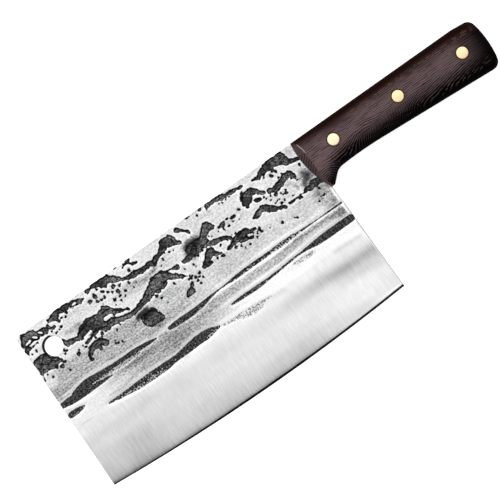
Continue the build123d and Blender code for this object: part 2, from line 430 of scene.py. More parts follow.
# Folds in the thickest scale, blacker than what is round them.
FOLDS = [
    [(2.6, 26, 0.25), (5.5, 22.4, 0.35), (9.5, 19, 0.4), (12.5, 18.4, 0.3)],
    [(9, 24.6, 0.2), (12.3, 23.8, 0.3), (15.6, 26, 0.2)],
    [(3.2, 5.4, 0.3), (5.6, 1.9, 0.4), (9.4, 1, 0.3)],
    [(32.3, 21.2, 0.3), (37.5, 19, 0.4), (42, 17.3, 0.45), (45, 16.7, 0.3)],
    [(53.4, 18.3, 0.3), (55.5, 17.4, 0.5), (57.9, 18.2, 0.3)],
    [(44.3, 25.2, 0.2), (48, 24.1, 0.4), (51.2, 26, 0.3)],
    [(60, 20.2, 0.3), (62.6, 22.6, 0.4), (68, 25.2, 0.3)],
    [(31.8, 36.5, 0.4), (33, 33.2, 0.4), (35.6, 30.3, 0.5), (39.7, 28.9, 0.5),
     (43.3, 30, 0.4), (45.6, 32, 0.3)],
    [(71.6, 35.8, 0.3), (73.6, 33.9, 0.5), (76.6, 33.2, 0.5), (79.6, 34.5, 0.4), (80.9, 36.4, 0.3)],
    [(88.4, 19.4, 0.3), (92, 17.6, 0.45), (96, 17.4, 0.5), (98.3, 19, 0.4)],
    [(118, 18.3, 0.3), (120.6, 16.7, 0.4), (123.8, 16.2, 0.35)],
    [(146.5, 27, 0.4), (150, 26.1, 0.5), (153.4, 26.4, 0.3)],
    [(159.6, 14.6, 0.3), (161.6, 10, 0.4), (164.6, 7.8, 0.3)],
    [(175, 4.6, 0.2), (180, 1.7, 0.4), (184, 0.4, 0.3)],
]

# Places inside those hollows where bright steel stands clear of the scale.
BARE_SPOTS = [
    [(36.5, 23.8, 0.5), (41.5, 22.9, 0.8)],
    [(53, 22.1, 1.2), (57, 21.9, 1.1)],
    [(59.5, 24, 0.8), (63.5, 25.5, 0.6)],
    [(168, 13.6, 1), (169.5, 13.6, 1)],
    [(32, 4, 0.5), (33, 3.8, 0.5)],
    [(41.5, 3.8, 0.5), (43.5, 3.6, 0.6)],
    [(5.4, 7.4, 0.5), (8.4, 6.6, 0.7)],
    [(7.2, 9.6, 0.6), (10.4, 8.9, 0.8)],
    [(11, 5.8, 0.5), (12.6, 7, 0.8)],
    [(15.4, 5.4, 0.4), (17, 6.6, 0.5)],
    [(197.5, 26.2, 0.5), (198.5, 26.2, 0.5)],
]

# Long drawn hollows left by the drop hammer's dies. The first number says how far their
# scale is worn through to the steel, from 0 to 1.
DRAWN_HOLLOWS = [
    (0.05, [(2, 49.6, 1.9), (8, 49.9, 2.5), (15, 50.6, 2.4), (24, 51, 1.8),
      (33, 51.6, 0.8), (37, 51.8, 0.3)]),
    (0.0, [(12, 48.2, 1.8), (16, 47.9, 2.7), (22, 47.3, 3), (30, 47.4, 2.2), (38, 47.5, 1.6)]),
    (0.1, [(38, 47.5, 1.6), (45, 47.6, 1.5), (58, 47.9, 1.6), (66, 48.6, 1.2), (71, 49.1, 0.5)]),
    (0.75, [(23, 49.2, 1.1), (36, 49.6, 1.2), (48, 50.2, 0.9), (58, 50.2, 0.5)]),
    (0.1, [(81.6, 48.7, 1.3), (86, 48.6, 1.8), (98, 49, 1.8), (106, 48.4, 1.6),
      (112, 47.4, 1), (118, 46.8, 0.6)]),
    (0.35, [(118, 46.8, 0.6), (124, 46.7, 0.7), (131, 46.6, 1.2), (142, 46.4, 1.3),
      (155, 46.3, 1.2)]),
    (0.5, [(155, 46.3, 1.2), (166, 46.2, 1.5), (173, 46.3, 1.3), (181, 46.5, 0.6)]),
    (0.3, [(181, 46.5, 0.6), (190, 46.6, 0.4), (209, 46.6, 0.45)]),
    (0.25, [(120, 58.6, 0.6), (127, 58.7, 1.2), (138, 59, 1.2), (148, 58.7, 0.9), (158, 58, 0.7)]),
    (0.35, [(158, 58, 0.7), (168, 57.4, 0.7), (175, 57.3, 0.9)]),
    (0.12, [(175, 57.3, 0.9), (183, 57.4, 2), (192, 57.5, 2.4), (208.2, 57.4, 2.3)]),
    (0.3, [(3, 57.1, 1.9), (7, 57.2, 2), (11, 57.2, 1.2), (12.7, 57.2, 0.5)]),
    (0.4, [(26, 64.6, 0.5), (34, 65.2, 1.4), (45, 65.7, 2.2), (58, 65.9, 2.7), (66, 65.9, 2.5)]),
    (0.12, [(66, 65.9, 2.5), (75, 65.6, 2.1), (83, 65, 2.4), (90, 64.4, 3), (96, 64.4, 3)]),
    (0.4, [(96, 64.4, 3), (101, 64.7, 2.3), (106, 65, 0.9)]),
]

# Shallow hollows where the scale is nearly worn away.
WORN_HOLLOWS = [
    [(108, 65.8, 0.6), (117, 66.9, 1), (128, 67.2, 1.1), (138, 68, 0.7), (142, 68.4, 0.4)],
    [(121, 69.2, 0.8), (130, 70, 1.2), (135, 70, 0.7)],
    [(165, 60.4, 0.8), (172, 61.2, 1.6), (179, 60.8, 0.8)],
    [(76.5, 43.5, 0.8), (79, 45, 1)],
    [(80, 14.5, 0.8), (82, 15.5, 1)],
]

# Darker places with soft borders: how wide the border is, how much darker, and a stroke.
DARKER_PLACES = [
    (1.8, 0.85, [(199, 18, 1.4), (200.8, 21.5, 3.2), (198.4, 24.6, 2.6)]),
    (2, 0.55, [(202, 17.5, 1.6), (203, 22, 3), (206, 26, 2.5)]),
    (1.4, 0.5, [(189.4, 17.6, 0.8), (191.6, 20.6, 0.8), (193.4, 24, 0.8)]),
    (1.4, 0.5, [(195.2, 17.6, 0.8), (196.2, 20, 0.8)]),
    (1.6, 0.6, [(196.4, 2, 1.6), (198.4, 5.6, 1.4)]),
    (2.5, 0.25, [(199, 3, 1.5), (203, 4, 2)]),
    (1.5, 0.35, [(199, 29.5, 0.5), (206, 30.4, 0.8)]),
    (2, 0.93, [(118.8, 14.2, 2.2), (121, 15, 4), (125.4, 15.2, 3.8)]),
    (1.8, 0.95, [(119.6, 18.8, 2.4), (122, 21.4, 2.8)]),
    (2, 0.5, [(126, 14.5, 0.8), (131, 12.4, 0.8)]),
    (1.1, 0.93, [(72.4, 32.8, 1.8), (77.8, 32.2, 2), (79.4, 34, 2.4)]),
    (1.4, 0.6, [(83, 16.9, 0.6), (90, 15.6, 1), (95, 13.4, 1)]),
    (2, 0.55, [(28, 16.4, 1), (33, 17.2, 1.5), (37, 15.2, 0.8)]),
    (1.6, 0.4, [(33, 19, 0.8), (38, 16, 0.8)]),
    (3, 0.15, [(36, 10, 1), (44, 8, 2)]),
    (2.5, 0.28, [(70, 13, 1), (82, 16, 1.5)]),
    (2, 0.3, [(127, 11.5, 0.8), (138, 10.5, 0.8)]),
    (2.5, 0.22, [(136, 16.5, 1), (158, 15, 1)]),
    (2, 0.18, [(132, 6, 0.8), (142, 5, 0.8)]),
    (1.5, 0.3, [(74, 42, 1), (80, 43.5, 1.2)]),
    (1.5, 0.25, [(12, 43.2, 0.4), (4, 43.4, 0.8)]),
    (1.2, 0.3, [(40, 43.1, 0.3), (60, 43.6, 0.5)]),
    (1.5, 0.35, [(64, 58.8, 0.4), (76, 58.6, 0.8), (84, 57.6, 0.5)]),
    (1.5, 0.4, [(64, 62, 0.3), (74, 61.4, 0.8), (81, 60.4, 0.4)]),
    (0.9, 0.6, [(36, 51.8, 0.2), (48, 52.2, 0.4), (60, 52.5, 0.2)]),
    (1.2, 0.25, [(60, 53, 0.6), (80, 53, 0.6)]),
    (1.2, 0.3, [(30, 60.4, 0.2), (50, 60.8, 0.5), (64, 60.6, 0.4)]),
    (1.6, 0.5, [(77, 68, 0.3), (82, 68.4, 0.7), (87, 67.8, 0.2)]),
    (0.8, 0.3, [(3, 65.2, 0.1), (11, 65.4, 0.1)]),
    (3, 0.24, [(118, 68, 0.5), (150, 69, 0.8)]),
    (2.5, 0.25, [(186, 68.5, 0.6), (206, 69, 1)]),
]

# Bright lines beside the drawn hollows, painted highlights on their rounded edges, given in the
# same way.
HIGHLIGHT_LINES = [
    (1.2, 0.36, [(6, 45.2, 0.4), (13, 44.6, 0.6), (22, 43.3, 0.8), (34, 44.2, 0.7),
      (52, 45.2, 0.6), (66, 46.2, 0.3)]),
    (1, 0.4, [(81, 46.4, 0.4), (92, 46, 0.5), (106, 45.9, 0.3)]),
    (1.6, 0.3, [(118, 44.8, 0.5), (140, 43.8, 1), (160, 43.4, 1), (176, 44, 0.8), (184, 45, 0.4)]),
    (1, 0.3, [(118, 48.2, 0.3), (135, 48.6, 0.6), (160, 48.6, 0.6), (172, 48.4, 0.3)]),
    (1.2, 0.3, [(114, 56.2, 0.3), (130, 56.3, 0.6), (160, 55.4, 0.7), (176, 54, 0.7),
      (190, 53.4, 0.7), (209, 53.4, 0.5)]),
    (1.4, 0.4, [(82, 61.4, 0.3), (92, 60.2, 0.6), (100, 60.8, 0.4)]),
    (2, 0.2, [(6, 54.2, 0.8), (20, 54.6, 0.8), (30, 55.4, 0.3)]),
]

# Broad differences in the steel: from and to in x and y, the borders' widths, darkening.
TONES = [
    (-9, 72, 29, 47, 30, 4, 0.32),
    (72, 106, 29, 47, 30, 4, 0.3),
    (118, 150, 29, 46, 30, 4, 0.18),
    (150, 196, 31, 43, 12, 4, 0.12),
    (199, 219, 30, 55, 10, 4, 0.36),
    (77, 95, 31, 39, 8, 5, -0.12),
    (-9, 9, 31, 38, 5, 4, -0.3),
    (44, 110, 49, 62, 34, 3, 0.33),
    (168, 220, 49, 55, 20, 2, 0.14),
    (20, 60, 49, 56, 16, 2, 0.14),
    (68, 104, 12.5, 20, 20, 4, 0.12),
    (64, 92, 52, 58, 18, 3, 0.1),
    (108, 174, 49, 54.5, 24, 2, 0.28),
    (174, 198, 48.5, 51, 10, 2, 0.26),
    (118, 220, 60.5, 67, 20, 3, -0.1),
    (-9, 220, -9, 60, 1, 8, 0.13),
    (-9, 100, -9, 28, 40, 6, 0.04),
    (100, 220, -9, 28, 40, 6, 0.06),
    (-9, 60, 64, 80, 60, 8, 0.08),
    (-9, 220, 74, 120, 1, 7, 0.12),
    (92, 182, 82, 101, 40, 8, -0.08),
    (172, 220, 88, 112, 50, 9, -0.15),
    (174, 220, 76.5, 82.5, 34, 6, 0.3),
    (146, 174, 75, 83, 26, 6, 0.13),
    (176, 220, 83, 90, 24, 6, 0.08),
    (-9, 40, 84, 112, 36, 9, 0.08),
    (20, 34, 88, 104, 12, 8, 0.06),
]

STEEL_WHITE = 0.87
GROUND_FROM = 62.0  # the forged surface ends between these, and the ground one begins
GROUND_TO = 70.0
STROKE_BLEND = 0.3  # how smoothly strokes run into each other
PIT_SPREAD = 0.28  # pits and hollows are that much wider than their tables say
HOLLOW_SPREAD = 0.2
RAGGED_BORDERS = ((3.1, 0.5), (1.5, 0.5), (0.8, 0.3))  # cell and depth of each noise
LEAN_STEP = 0.6  # between the two places that tell which way a border faces
GAP_LIMIT = 4.0  # distances to marks are kept up to here
FAR = 9.0


def one_stroke(points, stroke):
    """Distance to one tapered stroke, negative inside it."""
    found = np.full(len(points), np.inf)
    for (ax, ay, ar), (bx, by, br) in zip(stroke, stroke[1:]):
        run = np.array([bx - ax, by - ay])
        offset = points - (ax, ay)
        along = np.clip(offset @ run / max(run @ run, 1e-9), 0, 1)
        gap = np.linalg.norm(offset - along[:, None] * run, axis=1) - ar - (br - ar) * along
        found = np.minimum(found, gap)
    return found


def stroke_gap(points, strokes, wear=None):
    """Distance to many strokes, negative inside them and smooth where they meet. With
    the strokes' wear, also how worn the nearest are."""
    total = np.full(len(points), 1e-17)
    worn = np.zeros(len(points))
    for i, stroke in enumerate(strokes):
        weight = np.exp(np.clip(-one_stroke(points, stroke) / STROKE_BLEND, -38, 38))
        total += weight
        worn += weight * (wear[i] if wear else 0)
    return -STROKE_BLEND * np.log(total), worn / total


def forging_marks(points, seed):
    """Distances to the marks on one side of the blade, at points of that side."""
    ragged = sum(
        noise(points, cell, seed + i) * depth for i, (cell, depth) in enumerate(RAGGED_BORDERS)
    )
    shaken = points + np.column_stack([
        noise(points, 1.4, seed + 20 + i) * 0.5 + noise(points, 0.7, seed + 30 + i) * 0.3
        for i in (0, 1)
    ])
    pits = np.full(len(points), FAR)
    for x, y, radius in SCALE_PITS:
        reach = radius + PIT_SPREAD
        pits = np.minimum(pits, np.hypot(shaken[:, 0] - x, shaken[:, 1] - y) - reach)
    hollows = stroke_gap(points, SCALE_HOLLOWS)[0] + ragged - HOLLOW_SPREAD
    bare = stroke_gap(points, BARE_SPOTS)[0] + ragged * 0.3
    folds = stroke_gap(points, FOLDS)[0] + ragged * 0.25
    wears, strokes = zip(*DRAWN_HOLLOWS)
    drawn, wear = stroke_gap(points, strokes, wears)
    uneven = noise(points * (0.12, 1), 1.1, seed + 3) * 0.2 + noise(points, 0.9, seed + 4) * 0.15
    gaps = {
        "hollow_gap": hollows,
        "scale_gap": np.maximum(np.minimum(hollows, pits), -bare),
        "fold_gap": folds,
        "drawn_gap": drawn + uneven,
        "worn_gap": stroke_gap(points, WORN_HOLLOWS)[0] + uneven,
    }
    marks = {key: np.clip(gap, -GAP_LIMIT, GAP_LIMIT) for key, gap in gaps.items()}
    return marks | {"wear": wear}


def bare_steel(points, marks, seed):
    """How bright the clean steel is at each place."""
    swayed = points + np.column_stack([
        noise(points * (0.5, 1), 9, seed + 12) * 5,
        noise(points * (0.35, 1), 6, seed + 13) * 0.9,
    ])
    x, y = swayed[:, 0], swayed[:, 1]
    value = np.full(len(points), STEEL_WHITE)
    for x0, x1, y0, y1, soft_x, soft_y, darker in TONES:
        value -= darker * band(x, x0, x1, soft_x) * band(y, y0, y1, soft_y)
    value += noise(points * (0.3, 1), 3.5, seed + 5) * 0.025 + noise(points, 11, seed + 6) * 0.02
    # painted highlights beside the drawn hollows
    for border, brighter, stroke in HIGHLIGHT_LINES:
        value += brighter * smoothstep(-one_stroke(points, stroke), -border, border)

    # darker towards the cutting edge, less so at the heel, with a painted highlight as a bright
    # line above the bevel
    toward_front = 1 - 0.85 * smoothstep(x, 115, 215)
    up = marks["edge_height"]
    value -= (0.4 * np.exp(-up / 1.7) + 0.26 * np.exp(-up / 10)) * toward_front
    value += 0.3 * smoothstep(x, 150, 208) * smoothstep(up, 3.5, 1.5)

    # a bright border round each hollow: partly polished steel, partly a painted highlight, brighter
    # on the spine's side
    hollow_highlight = smoothstep(-marks["hollow_gap"], -1.9, -0.4) * smoothstep(points[:, 1], 33, 29)
    hollow_highlight *= 0.75 + 0.25 * marks["scale_lean"]
    drawn_highlight = smoothstep(-marks["drawn_gap"], -1.5, -0.3) * (0.62 + 0.3 * marks["drawn_lean"])
    drawn_highlight *= 1 - 0.75 * smoothstep(points[:, 1], 60, 64)
    polish_and_highlight = np.maximum(hollow_highlight, drawn_highlight)
    value += (STEEL_WHITE + 0.08 - value) * 0.85 * polish_and_highlight
    # darker places with soft borders
    for border, darker, stroke in DARKER_PLACES:
        value *= 1 - darker * smoothstep(-one_stroke(swayed, stroke), -border, border)
    return value


def side_marks(points, edge_height, seed):
    """Everything that shapes and colours one side, with how far each place leans towards
    the spine's side of the mark that it is in."""
    here = forging_marks(points, seed)
    above = forging_marks(points - (0, LEAN_STEP), seed)
    for key in ("scale", "drawn"):
        rise = (above[key + "_gap"] - here[key + "_gap"]) / LEAN_STEP
        here[key + "_lean"] = np.clip(rise, -1, 1)
    here["edge_height"] = edge_height
    here["steel"] = bare_steel(points, here, seed)
    return here


def relief(points, marks, seed):
    """How far the forged surface lies below the plain one."""
    forged = 1 - smoothstep(points[:, 1], GROUND_FROM, GROUND_TO + 1)
    hollow = smoothstep(-marks["scale_gap"], -0.6, 0.9) * 0.2
    drawn = smoothstep(-marks["drawn_gap"], -1.6, 1.6) * 0.3
    worn = smoothstep(-marks["worn_gap"], -1.0, 1.0) * 0.08
    rough = smoothstep(-marks["scale_gap"], -0.2, 0.5) * noise(points, 0.9, seed + 8) * 0.03
    fold = smoothstep(-marks["fold_gap"], -0.5, 0.4)
    rough += fold * smoothstep(-marks["scale_gap"], 0, 0.5) * 0.06
    hammered = (noise(points * (0.5, 1), 6, seed + 9) + 1) * 0.05
    return np.maximum(hollow + rough + hammered * forged, 0) * forged + drawn + worn


# ---- The forging: blade and tang ----

SPINE_BREAK = 0.3  # radius of the broken edges along the spine and the front
HOLE_BREAK = 0.5
HOLE_RINGS = (0.06, 0.16, 0.3, 0.5, 0.8)
HOLE_SHADE_TOWARDS = np.array([-0.77, -0.64])  # the side of the hole with the painted shade
HOLE_DRIFT = np.array([0.5, -0.42])  # the punch came through the underside that far off
HEEL_BREAK = (1.5, 0.3)  # radius at the heel, at the horn and at the cutting edge
FRONT_LEAN = 2.0  # the front end is that much further back at the spine
FRONT_HEIGHT = 106.4
HEEL_X = 210.4
HEEL_LEAN = 0.6
HEEL_HEIGHT = 109.0
BELLY_HEIGHT = 113.0  # a little past the deepest point of the edge
BUTT_X = 337.0  # and past the butt
HORN_Y = 35.6
HANDLE_FRONT = 203.0
SHANK_HOLE_RADIUS = 2.6
GROUND_STEP = 1.6
TANG_STEP = 4.0
OUTLINE_STEP = 0.7
OUTLINE_INSETS = (0.05, 0.2, 0.45, 0.85, 1.32, 1.48)
HOLE_SIDES = 96
SHANK_HOLE_SIDES = 48
CLEARANCE = 0.3  # of the filling points from the rings along an outline
# For each side of the blade: which way it faces, its point spacing, its seed, and whether
# its marks are the other side's turned end for end.
BLADE_SIDES = ((1, 0.6, 11, False), (-1, 0.76, 47, True))
TAPER_X = 203.4  # where the distal taper starts
TAPER = 0.5 / TAPER_X  # half of it, for each mm towards the front
TANG_HALF = 1.8  # half the tang's thickness
EDGE_HALF = 0.02  # half the thickness of the very edge
BEVEL_HEIGHT = 1.4
BEVEL_HALF = 0.35
GRIND_SLOPE = 0.022

blade_outline = divided(plan_loops("blade_and_tang")[0], OUTLINE_STEP)
edge_points = blade_outline[blade_outline[:, 1] < SPINE_Y - FRONT_HEIGHT + 0.4]
edge_x = edge_points[:, 0]
edge_corners = edge_points[[edge_x.argmin(), abs(edge_x - edge_x.mean()).argmin(), edge_x.argmax()]]
EDGE_CENTRE, EDGE_RADIUS = circle_through(*edge_corners)


def height_above_edge(points):
    """Distance from the cutting edge, by the circle that the edge follows."""
    return EDGE_RADIUS - np.hypot(*(points - EDGE_CENTRE).T)


def down_heel(y):
    """How far down the heel, from 0 at the horn to 1 at the cutting edge."""
    return np.clip((y - HORN_Y) / (HEEL_HEIGHT - HORN_Y), 0, 1)


def half_thickness(points):
    """Half the plain blade's thickness."""
    blade = to_blade(points)
    taper = TANG_HALF - TAPER * np.maximum(TAPER_X - blade[:, 0], 0)
    up = height_above_edge(points)
    bevel = EDGE_HALF + (BEVEL_HALF - EDGE_HALF) * up / BEVEL_HEIGHT
    grind = BEVEL_HALF + GRIND_SLOPE * (up - BEVEL_HEIGHT)
    return np.minimum(taper, np.where(up < BEVEL_HEIGHT, bevel, grind))


def outer_gaps(blade):
    """Distances in from the spine, the front, the heel, the hanging hole and the handle."""
    x, y = blade[:, 0], blade[:, 1]
    return {
        "spine": np.where(x < HANDLE_FRONT, y, FAR),
        "front": x - FRONT_LEAN * (1 - np.clip(y / FRONT_HEIGHT, 0, 1)),
        "heel": np.where(y > HORN_Y, HEEL_X + HEEL_LEAN * down_heel(y) - x, FAR),
        "hole": np.linalg.norm(blade - HOLE_ON_BLADE, axis=1) - HOLE_RADIUS,
        "handle": np.where(y < HORN_Y, HANDLE_FRONT - x, FAR),
    }


def broken_edge(points):
    """How far the rounding of the blade's outer edges takes the surface down."""
    blade = to_blade(points)
    at_horn, at_edge = HEEL_BREAK
    radii = {
        "spine": SPINE_BREAK,
        "front": SPINE_BREAK,
        "heel": at_horn + (at_edge - at_horn) * down_heel(blade[:, 1]),
        "hole": HOLE_BREAK,
    }
    drop = np.zeros(len(points))
    gaps = outer_gaps(blade)
    for side, radius in radii.items():
        short = np.maximum(radius - np.maximum(gaps[side], 0), 0)
        drop = np.maximum(drop, radius - np.sqrt(np.maximum(radius**2 - short**2, 0)))
    return np.minimum(drop, 0.75 * half_thickness(points))


def heel_light_and_shade(blade, gaps, steel):
    """The steel with a painted highlight on the rounded heel and painted shade on its outer edge,
    which curves away.
    """
    # painted highlight on the heel's rounding
    highlight_width = 2.3 - 1.9 * smoothstep(blade[:, 1], 44, 100)
    heel_highlight = smoothstep(gaps["heel"], highlight_width + 0.2, highlight_width - 0.2)
    steel = steel + (0.93 - steel) * heel_highlight
    # painted shade along the heel's outer edge
    heel_edge_shade = smoothstep(gaps["heel"], 0.5, 0.1) * smoothstep(blade[:, 1], 43, 48)
    return steel * (1 - 0.8 * heel_edge_shade)


def hole_shade(blade, gaps):
    """Distance to the painted shade along one side of the hanging hole, coloured as black scale."""
    ray = blade - HOLE_ON_BLADE
    toward = (ray @ HOLE_SHADE_TOWARDS) / np.linalg.norm(ray, axis=1)
    return gaps["hole"] + 0.4 - 1.35 * smoothstep(toward, 0.0, 0.5)


def blade_side(points, seed, mirrored):
    """Marks and surface height above the mid-plane for one side of the forging."""
    blade = to_blade(points)
    gaps = outer_gaps(blade)
    nearest = np.min(list(gaps.values()), axis=0)
    places = blade * (-1, 1) + (HEEL_X, 0) if mirrored else blade
    marks = side_marks(places, height_above_edge(points), seed)
    marks["steel"] = heel_light_and_shade(blade, gaps, marks["steel"])
    half = half_thickness(points)
    down = relief(places, marks, seed) * smoothstep(nearest, 0.0, 0.9)
    down = np.minimum(down, 0.45 * half)
    # painted shade along one side of the hanging hole, coloured as black scale
    for key in ("scale_gap", "fold_gap"):
        marks[key] = np.minimum(marks[key], hole_shade(blade, gaps))
    return marks, half - np.maximum(broken_edge(points), down)


# What the walls of the slab show: plain grey steel, with no mark near.
WALL_FINISH = {
    "scale_gap": GAP_LIMIT,
    "fold_gap": GAP_LIMIT,
    "scale_lean": 0.0,
    "drawn_gap": GAP_LIMIT,
    "drawn_lean": 0.0,
    "worn_gap": GAP_LIMIT,
    "wear": 0.0,
    "steel": 0.3,
}


def forging():
    """Blade and tang: finely divided where forged, coarsely where ground or covered."""
    rivet_holes = [circle(c, SHANK_HOLE_RADIUS, SHANK_HOLE_SIDES) for c in RIVET_CENTRES.values()]
    rings = inset_rings(blade_outline, OUTLINE_INSETS)
    found, faces_of_blade = [], []
    for sign, step, seed, mirrored in BLADE_SIDES:
        ground_corner = from_blade(HEEL_X + 1, GROUND_TO + 1.8)
        grid = np.concatenate([
            hexagonal(from_blade(0, GROUND_TO + 1), from_blade(HEEL_X, 0), step),
            hexagonal(from_blade(0, BELLY_HEIGHT), ground_corner, GROUND_STEP),
            hexagonal(from_blade(HEEL_X + 1, HORN_Y + 0.4), from_blade(BUTT_X, 0), TANG_STEP),
        ])
        grid = grid[inside(grid, blade_outline)]
        clear = distance_to(grid, blade_outline) > OUTLINE_INSETS[-1] + CLEARANCE
        clear &= clear_of(grid, [HOLE_CENTRE], HOLE_RADIUS + HOLE_RINGS[-1] + CLEARANCE)
        clear &= clear_of(grid, RIVET_CENTRES.values(), SHANK_HOLE_RADIUS + 0.8)
        hole_centre = HOLE_CENTRE + (0 if sign > 0 else HOLE_DRIFT)
        holes = [circle(hole_centre, HOLE_RADIUS, HOLE_SIDES), *rivet_holes]
        hole_rings = [circle(hole_centre, HOLE_RADIUS + gap, HOLE_SIDES) for gap in HOLE_RINGS]
        filling = np.concatenate([rings, *hole_rings, grid[clear]])

        def height(plan, sign=sign, seed=seed, mirrored=mirrored):
            marks, half = blade_side(plan, seed, mirrored)
            found.append(marks)
            return MID_Z + sign * half

        faces_of_blade.append((holes, filling, height))
    points, faces = slab(blade_outline, *faces_of_blade, wall=(0.25, 0.5, 0.75))
    wall_count = len(points) - sum(len(marks["steel"]) for marks in found)
    attributes = {}
    for key, on_wall in WALL_FINISH.items():
        parts = [marks[key] for marks in found] + [np.full(wall_count, on_wall)]
        attributes[key] = np.concatenate(parts)
    # painted shade: the hanging hole's wall is coloured as black scale
    shaded_hole_wall = np.hypot(*(points[:, :2] - HOLE_CENTRE).T) < HOLE_RADIUS + 1
    shaded_hole_wall[:len(points) - wall_count] = False
    for key in ("scale_gap", "fold_gap"):
        attributes[key][shaded_hole_wall] = -1.0
    attributes["edge_height"] = height_above_edge(points[:, :2])
    return build("forged_blade", points, faces, attributes)


# ---- Handle scales ----

PALM_ROUNDING = 8.0
BUTT_ROUNDING = 5.5
TOE_ROUNDING = 1.2
FRONT_ROUNDING = 0.45
FRONT_ARC_RADIUS = 56.0
FRONT_SLANT = 4.7  # the slanted front's width, less near the spine and in the horn
FRONT_NARROWING = ((10, 2, 1.0), (14, 34, 3.5))
FRONT_ARC_CENTRE = from_blade(203.0 + FRONT_ARC_RADIUS, 8.6)
UNDERSIDE = [(203.8, 43), (219.4, 28.75), (238, 27.9), (350, 35.6)]
UNDERSIDE_RADII = (9.0, 240.0)
BUTT_CROWN = [(334.3, 34.5), (336.6, 17.5), (334.5, 1.25)]
SHOULDER_X = 322.0  # where the back starts to drop towards the butt
SHOULDER_SLOPE = 0.1
SCALE_STEP = 0.42
SCALE_OUTLINE_STEP = 0.5
SCALE_INSETS = (0.06, 0.2, 0.42, 0.75, 1.15, 1.6, 2.05)
POCKET_GAP = 0.03  # round a rivet's head
POCKET_SIDES = 64
HALVINGS = 26  # of a scale's thickness, to find the height of its surface


def filleted(corners, radii, step=0.25):
    """A path of straight runs with its inner corners rounded."""
    corners = [np.array(c, float) for c in corners]
    path = [corners[0]]
    for before, corner, after, radius in zip(corners, corners[1:], corners[2:], radii):
        back = (before - corner) / np.linalg.norm(before - corner)
        ahead = (after - corner) / np.linalg.norm(after - corner)
        half_angle = math.acos(np.clip(back @ ahead, -1, 1)) / 2
        reach = radius / math.tan(half_angle)
        middle = (back + ahead) / np.linalg.norm(back + ahead)
        centre = corner + middle * radius / math.sin(half_angle)
        start, end = corner + back * reach, corner + ahead * reach
        count = max(2, math.ceil(radius * (math.pi - 2 * half_angle) / step))
        for i in range(count + 1):
            ray = start + (end - start) * i / count - centre
            path.append(centre + ray * radius / np.linalg.norm(ray))
    return np.array(path + [corners[-1]])


def rounded_corner(a, b, radius):
    """Signed distance inside the rounded corner of two faces a and b deep."""
    near = np.maximum(radius - a, 0) ** 2 + np.maximum(radius - b, 0) ** 2
    return np.where((a < radius) & (b < radius), radius - np.sqrt(near), np.minimum(a, b))


def scale_top(points):
    """Height of a scale's outer surface above its glued face."""
    blade = to_blade(points)
    underside = filleted(UNDERSIDE, UNDERSIDE_RADII)
    drop = np.maximum(blade[:, 0] - SHOULDER_X, 0) * SHOULDER_SLOPE
    side = np.minimum(blade[:, 1] - drop, distance_to(blade, underside, closed=False))
    crown_centre, crown_radius = circle_through(*BUTT_CROWN)
    from_crown = blade - crown_centre
    butt = crown_radius - np.hypot(np.maximum(from_crown[:, 0], 0), from_crown[:, 1])
    toe = HORN_Y - blade[:, 1]
    from_centre = points - FRONT_ARC_CENTRE
    arc = FRONT_ARC_RADIUS - np.hypot(np.minimum(from_centre[:, 0], 0), from_centre[:, 1])
    slope = FRONT_SLANT / SCALE_THICKNESS
    for start, end, narrower in FRONT_NARROWING:
        slope = slope - smoothstep(blade[:, 1], start, end) * narrower / SCALE_THICKNESS
    low, high = np.zeros(len(points)), np.full(len(points), SCALE_THICKNESS)
    for _ in range(HALVINGS):
        z = (low + high) / 2
        depth = rounded_corner(side, SCALE_THICKNESS - z, PALM_ROUNDING)
        depth = rounded_corner(depth, toe, TOE_ROUNDING)
        depth = rounded_corner(depth, butt, BUTT_ROUNDING)
        front = (arc - z * slope) * np.cos(np.arctan(slope))
        solid = rounded_corner(depth, front, FRONT_ROUNDING) > 0
        low, high = np.where(solid, z, low), np.where(solid, high, z)
    return (low + high) / 2


def scale(name, node, sign, seed):
    """One handle scale: sign is 1 for the upper and -1 for the lower."""
    outline = divided(plan_loops("upper_epoxy_bed")[0], SCALE_OUTLINE_STEP)
    centres = RIVET_CENTRES.values()
    pockets = [circle(c, RIVET_RADIUS + POCKET_GAP, POCKET_SIDES) for c in centres]
    shank_holes = [circle(c, SHANK_HOLE_RADIUS, POCKET_SIDES) for c in centres]
    rings = inset_rings(outline, SCALE_INSETS)
    grid = hexagonal(outline.min(0), outline.max(0), SCALE_STEP)
    grid = grid[inside(grid, outline)]
    clear = distance_to(grid, outline) > SCALE_INSETS[-1] + CLEARANCE
    clear &= clear_of(grid, centres, RIVET_RADIUS + 0.35)
    inner = MID_Z + sign * SCALE_INNER

    def outer(plan):
        worn = 0.03 + 0.03 * noise(plan * (0.4, 1), 7, seed)
        top = scale_top(plan)
        return inner + sign * (top - worn * smoothstep(top, 7.5, 9.0))

    def glued(plan):
        return np.full(len(plan), inner)

    upper = (pockets, np.concatenate([rings, grid[clear]]), outer)
    lower = (shank_holes, np.empty((0, 2)), glued)
    points, faces = slab(outline, upper, lower, wall=(0.5,))
    piece = build(name, points, faces)
    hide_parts(node)
    return piece


# ---- Rivets ----

RIVET_HALVES = (("stud", 1, 1.5), ("socket", -1, 2.5))  # which way it faces, shank's radius
HEAD_DEPTH = 1.8
HEAD_RIM = 0.3  # radius of the head's rounded rim
HEAD_CROWN = 0.12
TURNED_SIDES = 96


